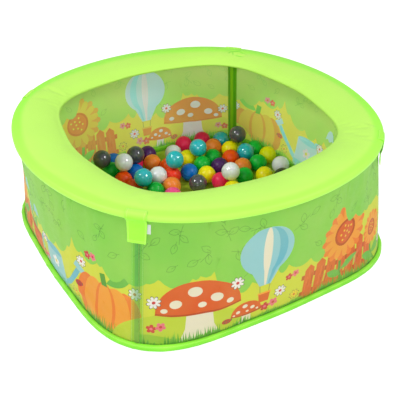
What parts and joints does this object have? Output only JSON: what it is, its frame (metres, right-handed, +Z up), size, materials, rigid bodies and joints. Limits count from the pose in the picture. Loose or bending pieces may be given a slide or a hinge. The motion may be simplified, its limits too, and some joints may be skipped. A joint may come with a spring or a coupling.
{
  "type": "ball pit",
  "caption": "Square pop-up ball pit with printed fabric walls, a wide padded rim over sprung hoops, corner tabs and a heap of loose hollow balls.",
  "frame": {"origin": "middle of the pit's plan, on the underside of the floor sheet", "axes": "+Z up, X and Y square to the sides; the four corner posts stand on the diagonals, with the front corner towards -X -Y"},
  "size_m": [0.912, 0.912, 0.3448],
  "materials": {
    "lime_cover": "satin",
    "lime_binding": "satin",
    "lime_floor": "matte",
    "printed_wall": "matte",
    "green_sleeve": "matte",
    "bright_tab": "satin",
    "white_hook": "matte",
    "lime_loop": "matte",
    "white_foam": "matte",
    "black_post": "matte",
    "spring_steel": "satin",
    "ball_green": "gloss",
    "ball_crimson": "gloss",
    "ball_blue": "gloss",
    "ball_orange_red": "gloss",
    "ball_orange": "gloss",
    "ball_red": "gloss",
    "ball_yellow": "gloss",
    "ball_dark_grey": "gloss",
    "ball_white": "gloss",
    "ball_teal": "gloss"
  },
  "bodies": {
    "pit": {"floor_sheet": "lime_floor", "base_binding": "lime_binding", "wall_panel_right": "printed_wall", "wall_panel_left": "printed_wall", "rim_cover_top": "lime_cover", "rim_cover_underside": "lime_cover", "rim_foam": "white_foam", "base_hoop": "spring_steel", "base_hoop_ferrule": "spring_steel", "rim_hoop": "spring_steel", "rim_hoop_ferrule": "spring_steel", "mouth_hoop": "spring_steel", "mouth_hoop_ferrule": "spring_steel", "post_front": "black_post", "post_sleeve_front": "green_sleeve", "wall_hook_patch_front": "white_hook", "post_right": "black_post", "post_sleeve_right": "green_sleeve", "wall_hook_patch_right": "white_hook", "post_back": "black_post", "post_sleeve_back": "green_sleeve", "wall_hook_patch_back": "white_hook", "post_left": "black_post", "post_sleeve_left": "green_sleeve", "wall_hook_patch_left": "white_hook", "ball_01_green": "ball_green", "ball_02_crimson": "ball_crimson", "ball_03_blue": "ball_blue", "ball_04_orange_red": "ball_orange_red", "ball_05_orange_red": "ball_orange_red", "ball_06_green": "ball_green", "ball_07_orange": "ball_orange", "ball_08_red": "ball_red", "ball_09_yellow": "ball_yellow", "ball_11_green": "ball_green", "ball_12_yellow": "ball_yellow", "ball_13_orange_red": "ball_orange_red", "ball_14_crimson": "ball_crimson", "ball_15_yellow": "ball_yellow", "ball_17_green": "ball_green"},
    "tab_front": {"corner_tab_front": "bright_tab", "tab_loop_patch_front": "lime_loop"},
    "tab_right": {"corner_tab_right": "bright_tab", "tab_loop_patch_right": "lime_loop"},
    "tab_back": {"corner_tab_back": "bright_tab", "tab_loop_patch_back": "lime_loop"},
    "tab_left": {"corner_tab_left": "bright_tab", "tab_loop_patch_left": "lime_loop"},
    "ball_10_orange": {"ball_10_orange": "ball_orange"},
    "ball_16_green": {"ball_16_green": "ball_green"},
    "ball_18_dark_grey": {"ball_18_dark_grey": "ball_dark_grey"},
    "ball_19_white": {"ball_19_white": "ball_white"},
    "ball_20_dark_grey": {"ball_20_dark_grey": "ball_dark_grey"},
    "ball_21_teal": {"ball_21_teal": "ball_teal"},
    "ball_22_white": {"ball_22_white": "ball_white"},
    "ball_23_teal": {"ball_23_teal": "ball_teal"},
    "ball_24_teal": {"ball_24_teal": "ball_teal"},
    "ball_25_dark_grey": {"ball_25_dark_grey": "ball_dark_grey"},
    "ball_26_teal": {"ball_26_teal": "ball_teal"},
    "ball_27_white": {"ball_27_white": "ball_white"}
  },
  "joints": [
    {"name": "flap_front", "type": "hinge", "parent": "pit", "child": "tab_front", "pos_m": [-0.32315, -0.32315, 0.3448], "axis": [-0.7071, 0.7071, 0], "range_deg": [0, 150]},
    {"name": "flap_right", "type": "hinge", "parent": "pit", "child": "tab_right", "pos_m": [0.32315, -0.32315, 0.3448], "axis": [-0.7071, -0.7071, 0], "range_deg": [0, 150]},
    {"name": "flap_back", "type": "hinge", "parent": "pit", "child": "tab_back", "pos_m": [0.32315, 0.32315, 0.3448], "axis": [0.7071, -0.7071, 0], "range_deg": [0, 150]},
    {"name": "flap_left", "type": "hinge", "parent": "pit", "child": "tab_left", "pos_m": [-0.32315, 0.32315, 0.3448], "axis": [0.7071, 0.7071, 0], "range_deg": [0, 150]},
    {"name": "lift_ball_10", "type": "slide", "parent": "pit", "child": "ball_10_orange", "axis": [-0.1632, -0.2009, 0.9659], "range_m": [0, 0.46]},
    {"name": "lift_ball_16", "type": "slide", "parent": "pit", "child": "ball_16_green", "axis": [-0.1497, -0.0695, 0.9863], "range_m": [0, 0.52]},
    {"name": "lift_ball_18", "type": "slide", "parent": "pit", "child": "ball_18_dark_grey", "axis": [0.1012, -0.2654, 0.9588], "range_m": [0, 0.41]},
    {"name": "lift_ball_19", "type": "slide", "parent": "pit", "child": "ball_19_white", "axis": [0, 0, 1], "range_m": [0, 0.32]},
    {"name": "lift_ball_20", "type": "slide", "parent": "pit", "child": "ball_20_dark_grey", "axis": [0.0091, -0.0954, 0.9954], "range_m": [0, 0.4]},
    {"name": "lift_ball_21", "type": "slide", "parent": "pit", "child": "ball_21_teal", "axis": [0, 0, 1], "range_m": [0, 0.33]},
    {"name": "lift_ball_22", "type": "slide", "parent": "pit", "child": "ball_22_white", "axis": [0, 0, 1], "range_m": [0, 0.35]},
    {"name": "lift_ball_23", "type": "slide", "parent": "pit", "child": "ball_23_teal", "axis": [0, 0, 1], "range_m": [0, 0.32]},
    {"name": "lift_ball_24", "type": "slide", "parent": "pit", "child": "ball_24_teal", "axis": [0, 0, 1], "range_m": [0, 0.33]},
    {"name": "lift_ball_25", "type": "slide", "parent": "pit", "child": "ball_25_dark_grey", "axis": [-0.2925, -0.2467, 0.9239], "range_m": [0, 0.5]},
    {"name": "lift_ball_26", "type": "slide", "parent": "pit", "child": "ball_26_teal", "axis": [-0.1796, -0.1208, 0.9763], "range_m": [0, 0.44]},
    {"name": "lift_ball_27", "type": "slide", "parent": "pit", "child": "ball_27_white", "axis": [0, 0, 1], "range_m": [0, 0.33]}
  ]
}
